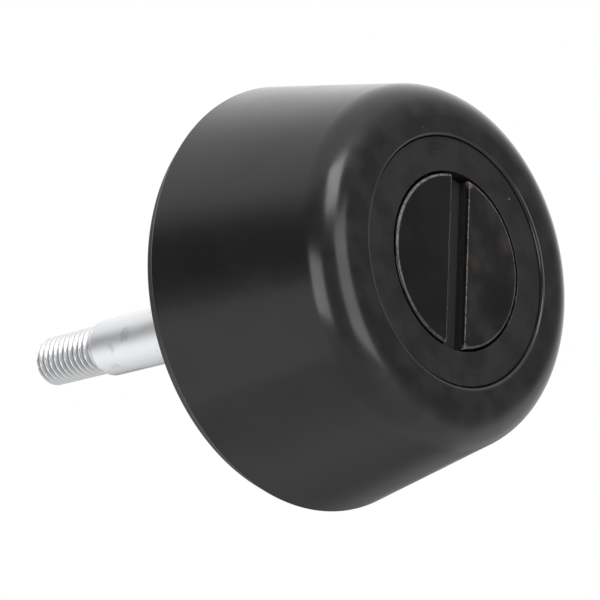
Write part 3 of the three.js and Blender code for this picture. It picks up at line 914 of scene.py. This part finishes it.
def shaft_seal(material):
    """A rubber ring with a groove round its lip."""
    low, high = SEAL_LOW.z, SEAL_HIGH.z
    outer_r = SEAL_HIGH.x
    wall = outer_r - SEAL_BORE_R
    profile = rounded(
        [
            (SEAL_BORE_R, low, 0),
            (outer_r, low, 0),
            (outer_r, high, 0.2 * MM),
            (SEAL_BORE_R + 0.62 * wall, high, 0.15 * MM),
            (SEAL_BORE_R + 0.45 * wall, high - 0.35 * MM, 0.15 * MM),
            (SEAL_BORE_R, high - 0.1 * MM, 0.08 * MM),
        ]
    )
    lip = as_object(turned(profile, MEDIUM), "seal_lip")
    finish_piece(lip, "foot", "seal_rubber", material, "shaft_seal")


def screw_recess(x, y, floor, top, arm, spin):
    """The two cutters of a cross recess that narrows towards its floor."""
    cutters = []
    for quarter in (0, TURN / 4):
        bm = block((-arm, -arm * 0.2, floor), (arm, arm * 0.2, top))
        for vertex in bm.verts:
            if vertex.co.z < (floor + top) / 2:
                vertex.co.x *= 0.35
                vertex.co.y *= 0.6
        turn = Matrix.Rotation(quarter + spin, 3, "Z")
        bmesh.ops.rotate(bm, verts=bm.verts, matrix=turn)
        bmesh.ops.translate(bm, verts=bm.verts, vec=(x, y, 0))
        cutters.append(bm)
    return cutters


def plate_screw(number, x, y, material):
    """A pan-head screw with a cross recess, turned to an angle of its own."""
    node = f"plate_screw_{number}"
    low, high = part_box(node)
    head_r = (high.x - low.x) / 2
    seat = high.z - SCREW_HEAD_H
    profile = rounded(
        [
            (0, low.z, 0),
            (SCREW_TIP_R, low.z, 0.1 * MM),
            (SCREW_R, low.z + SCREW_R, 0.3 * MM),
            (SCREW_R, seat, 0),
            (head_r, seat, 0.15 * MM),
            (head_r, seat + 0.35 * SCREW_HEAD_H, 0.3 * MM),
            (0.72 * head_r, high.z, 0.5 * MM),
            (0, high.z, 0),
        ]
    )
    bm = turned(profile, SMALL)
    bmesh.ops.translate(bm, verts=bm.verts, vec=(x, y, 0))
    made = as_object(bm, f"pan_screw_{number}")
    spin = 0.4 + 1.9 * number  # an angle of its own for each screw
    floor, top = high.z - RECESS_DEPTH, high.z + OVERSHOOT
    carve(made, screw_recess(x, y, floor, top, 0.58 * head_r, spin))
    finish_piece(made, "foot", "screw_black", material, node)


# ================================================================ the pieces inside


def dress_hidden_pieces():
    """The pieces inside keep their CAD meshes and get a material each."""
    nylon = moulded("core_nylon", grey(0.022), grey(0.032), 0.55)
    acetal = moulded("bushing_acetal", (0.62, 0.59, 0.5), (0.72, 0.69, 0.6), 0.45)
    washer = metal("washer_steel", 0.42, 0.56, 0.3)
    pin = metal("pin_steel", 0.3, 0.42, 0.34)
    screw = metal("screw_steel", 0.4, 0.52, 0.32)
    dressed = {
        "core": nylon,
        "lower_bushing": acetal,
        "rear_bushing": acetal,
        "lift_washer": acetal,
        "thrust_washer": washer,
        "drive_pin": pin,
    }
    for number in range(1, SCREW_COUNT + 1):
        dressed[f"collar_screw_{number}"] = screw
    for node, material in dressed.items():
        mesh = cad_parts[node].data
        mesh.materials.clear()
        mesh.materials.append(material)


# ================================================================ camera, light and floor


CAMERA_AZIMUTH = math.radians(-23.75)
CAMERA_ELEVATION = math.radians(-43.49)
CAMERA_ROLL = math.radians(-104.04)
CAMERA_DISTANCE = 457.8 * MM
CAMERA_RIGHT = -27.82 * MM  # how far the camera's axis passes from the sole's centre
CAMERA_UP = -6.93 * MM
LENS = 157.9  # focal length in mm, on a sensor 36 mm wide
SENSOR_WIDTH = 36
PANEL_DISTANCE = 0.7

FLOOR_R = 2.5
FLOOR_SIDES = 96
FLOOR_DROP = 0.05 * MM  # below the sole, so that the two don't flicker
FLOOR_FADE_START = 0.08  # from the foot's axis, where the floor begins to turn white
FLOOR_FADE_END = 0.45


def camera_axes():
    """Right, up and back of the camera, as unit vectors in the frame."""
    flat = math.cos(CAMERA_ELEVATION)
    back = Vector(
        (
            flat * math.sin(CAMERA_AZIMUTH),
            -flat * math.cos(CAMERA_AZIMUTH),
            math.sin(CAMERA_ELEVATION),
        )
    )
    level = Vector((0, 0, 1)).cross(back).normalized()
    roll = Matrix.Rotation(CAMERA_ROLL, 3, back)
    right = roll @ level
    return right, back.cross(right), back


RIGHT, UP, BACK = camera_axes()


def add_camera():
    """The camera looks up at the sole, rolled so that the stud points left."""
    camera = bpy.data.objects.new("camera", bpy.data.cameras.new("camera"))
    bpy.context.scene.collection.objects.link(camera)
    camera.data.lens = LENS
    camera.data.sensor_width = SENSOR_WIDTH
    axes = Matrix((RIGHT, UP, BACK)).transposed().to_4x4()
    place = CAMERA_RIGHT * RIGHT + CAMERA_UP * UP + CAMERA_DISTANCE * BACK
    camera.matrix_world = Matrix.Translation(place) @ axes
    bpy.context.scene.camera = camera


def aim(azimuth, elevation):
    """A direction seen from the object: azimuth from the camera to the right, elevation up."""
    flat = math.cos(math.radians(elevation))
    toward = flat * math.cos(math.radians(azimuth))
    across = flat * math.sin(math.radians(azimuth))
    return toward * BACK + across * RIGHT + math.sin(math.radians(elevation)) * UP


def add_panel(name, azimuth, elevation, width, height, radiance):
    """A soft rectangular lamp that spans width by height degrees and faces the object."""
    far = PANEL_DISTANCE
    lamp = bpy.data.lights.new(name, "AREA")
    lamp.shape = "RECTANGLE"
    lamp.size = 2 * far * math.tan(math.radians(width) / 2)
    lamp.size_y = 2 * far * math.tan(math.radians(height) / 2)
    lamp.energy = radiance * math.pi * lamp.size * lamp.size_y
    panel = bpy.data.objects.new(name, lamp)
    bpy.context.scene.collection.objects.link(panel)
    toward = aim(azimuth, elevation)
    side = UP.cross(toward).normalized()
    axes = Matrix((side, toward.cross(side), toward)).transposed().to_4x4()
    panel.matrix_world = Matrix.Translation(toward * far) @ axes
    panel.visible_camera = False


def add_lights():
    """Name, azimuth, elevation, width and height in degrees, and radiance of each lamp."""
    add_panel("key", 12, 50, 26, 26, 6.6)
    add_panel("right", 38, 9, 31, 46, 3.0)
    add_panel("left", -32, -3, 30, 34, 3.9)
    add_panel("low left", -66, -24, 40, 40, 0.35)
    add_panel("stud fill", -124, -37, 76, 44, 0.65)


def add_world():
    """White to the camera; to the object, a bright ceiling, dim walls and a pale floor."""
    world = bpy.data.worlds.new("studio")
    bpy.context.scene.world = world
    world.use_nodes = True
    tree = world.node_tree
    tree.nodes.clear()
    link = tree.links.new
    direction = tree.nodes.new("ShaderNodeTexCoord").outputs["Generated"]

    def along(axis):
        """Cosine of the angle between a direction and an axis."""
        made = tree.nodes.new("ShaderNodeVectorMath")
        made.operation = "DOT_PRODUCT"
        link(direction, made.inputs[0])
        made.inputs[1].default_value = axis
        return made.outputs["Value"]

    def ramp(value, start, end, low=0, high=1):
        """A value from start to end stretched to low to high, and held beyond them."""
        made = tree.nodes.new("ShaderNodeMapRange")
        made.interpolation_type = "SMOOTHSTEP"
        link(value, made.inputs["Value"])
        made.inputs["From Min"].default_value = start
        made.inputs["From Max"].default_value = end
        made.inputs["To Min"].default_value = low
        made.inputs["To Max"].default_value = high
        return made.outputs["Result"]

    def combined(operation, first, second):
        made = tree.nodes.new("ShaderNodeMath")
        made.operation = operation
        link(first, made.inputs[0])
        link(second, made.inputs[1])
        return made.outputs[0]

    def plus(first, second):
        return combined("ADD", first, second)

    def times(first, second):
        return combined("MULTIPLY", first, second)

    # A bright ceiling above and behind the object, dimmer towards the right.
    ceiling = ramp(along((UP - 0.6 * BACK).normalized()), 0.22, 0.6, 0, 1.4)
    ceiling = times(ceiling, ramp(along(RIGHT), 0.35, 0.85, 1, 0.25))
    above_behind = ramp(along((UP - BACK).normalized()), 0.86, 1, 0, 0.3)
    # A grey ground, darker far behind, at the right and straight in front.
    ground = times(ramp(along(-UP), -0.18, 0.2, 0, 0.78), ramp(along(BACK), -0.75, -0.1))
    ground = times(ground, ramp(along(RIGHT), 0.75, 1, 1, 0.2))
    ground = times(ground, ramp(along(BACK), 0.78, 0.93, 1, 0.15))
    # A glow from low behind at the right, and walls that brighten to the right.
    corner = ramp(along((RIGHT - BACK - 0.6 * UP).normalized()), 0.82, 0.97, 0, 0.7)
    wall = ramp(along(RIGHT), -0.9, 0.9, 0.18, 0.37)
    light = plus(plus(plus(ceiling, above_behind), plus(ground, wall)), corner)
    room = tree.nodes.new("ShaderNodeBackground")
    link(light, room.inputs["Strength"])
    backdrop = tree.nodes.new("ShaderNodeBackground")
    backdrop.inputs["Color"].default_value = (1, 1, 1, 1)
    chosen = tree.nodes.new("ShaderNodeMixShader")
    link(tree.nodes.new("ShaderNodeLightPath").outputs["Is Camera Ray"], chosen.inputs[0])
    link(room.outputs[0], chosen.inputs[1])
    link(backdrop.outputs[0], chosen.inputs[2])
    out = tree.nodes.new("ShaderNodeOutputWorld")
    link(chosen.outputs[0], out.inputs["Surface"])


def floor_material():
    """Pale and plain, fading to white far away, and clear when seen from below."""
    made = bpy.data.materials.new("pale_floor")
    made.use_nodes = True
    tree = made.node_tree
    tree.nodes.clear()
    link = tree.links.new
    place = tree.nodes.new("ShaderNodeTexCoord").outputs["Object"]
    far = tree.nodes.new("ShaderNodeVectorMath")
    far.operation = "LENGTH"
    link(place, far.inputs[0])
    fade = tree.nodes.new("ShaderNodeMapRange")
    fade.interpolation_type = "SMOOTHSTEP"
    link(far.outputs["Value"], fade.inputs["Value"])
    fade.inputs["From Min"].default_value = FLOOR_FADE_START
    fade.inputs["From Max"].default_value = FLOOR_FADE_END
    matt = tree.nodes.new("ShaderNodeBsdfDiffuse")
    matt.inputs["Color"].default_value = (0.86, 0.86, 0.86, 1)
    white = tree.nodes.new("ShaderNodeEmission")
    white.inputs["Color"].default_value = (1, 1, 1, 1)
    lit = tree.nodes.new("ShaderNodeMixShader")
    link(fade.outputs["Result"], lit.inputs[0])
    link(matt.outputs[0], lit.inputs[1])
    link(white.outputs[0], lit.inputs[2])
    clear = tree.nodes.new("ShaderNodeBsdfTransparent")
    sided = tree.nodes.new("ShaderNodeMixShader")
    link(tree.nodes.new("ShaderNodeNewGeometry").outputs["Backfacing"], sided.inputs[0])
    link(lit.outputs[0], sided.inputs[1])
    link(clear.outputs[0], sided.inputs[2])
    out = tree.nodes.new("ShaderNodeOutputMaterial")
    link(sided.outputs[0], out.inputs["Surface"])
    return made


def add_floor():
    """A round floor that only the camera sees, so that it doesn't darken the sole."""
    bm = bmesh.new()
    bmesh.ops.create_circle(bm, cap_ends=True, radius=FLOOR_R, segments=FLOOR_SIDES)
    floor = as_object(bm, "floor")
    floor.location.z = -FLOOR_DROP
    floor.data.materials.append(floor_material())
    floor.visible_shadow = False
    floor.visible_diffuse = False
    floor.visible_glossy = False


# ================================================================ the scene


def build_object():
    """Every piece of the foot, each with its own material."""
    outer_cover(cover_rubber())
    plastic = collar_plastic()
    collar_half("left", -1, plastic)
    collar_half("right", 1, plastic)
    drive_disc(disc_gloss())
    stud(stud_zinc())
    back_plate(plate_paint())
    shaft_seal(seal_rubber())
    black = metal("screw_black", 0.03, 0.05, 0.38)
    for number, (x, y) in enumerate(screw_places(SCREW_LOW, SCREW_HIGH), start=1):
        plate_screw(number, x, y, black)
    dress_hidden_pieces()


build_object()
add_camera()
add_lights()
add_world()
add_floor()
bpy.context.scene.view_settings.view_transform = "Standard"
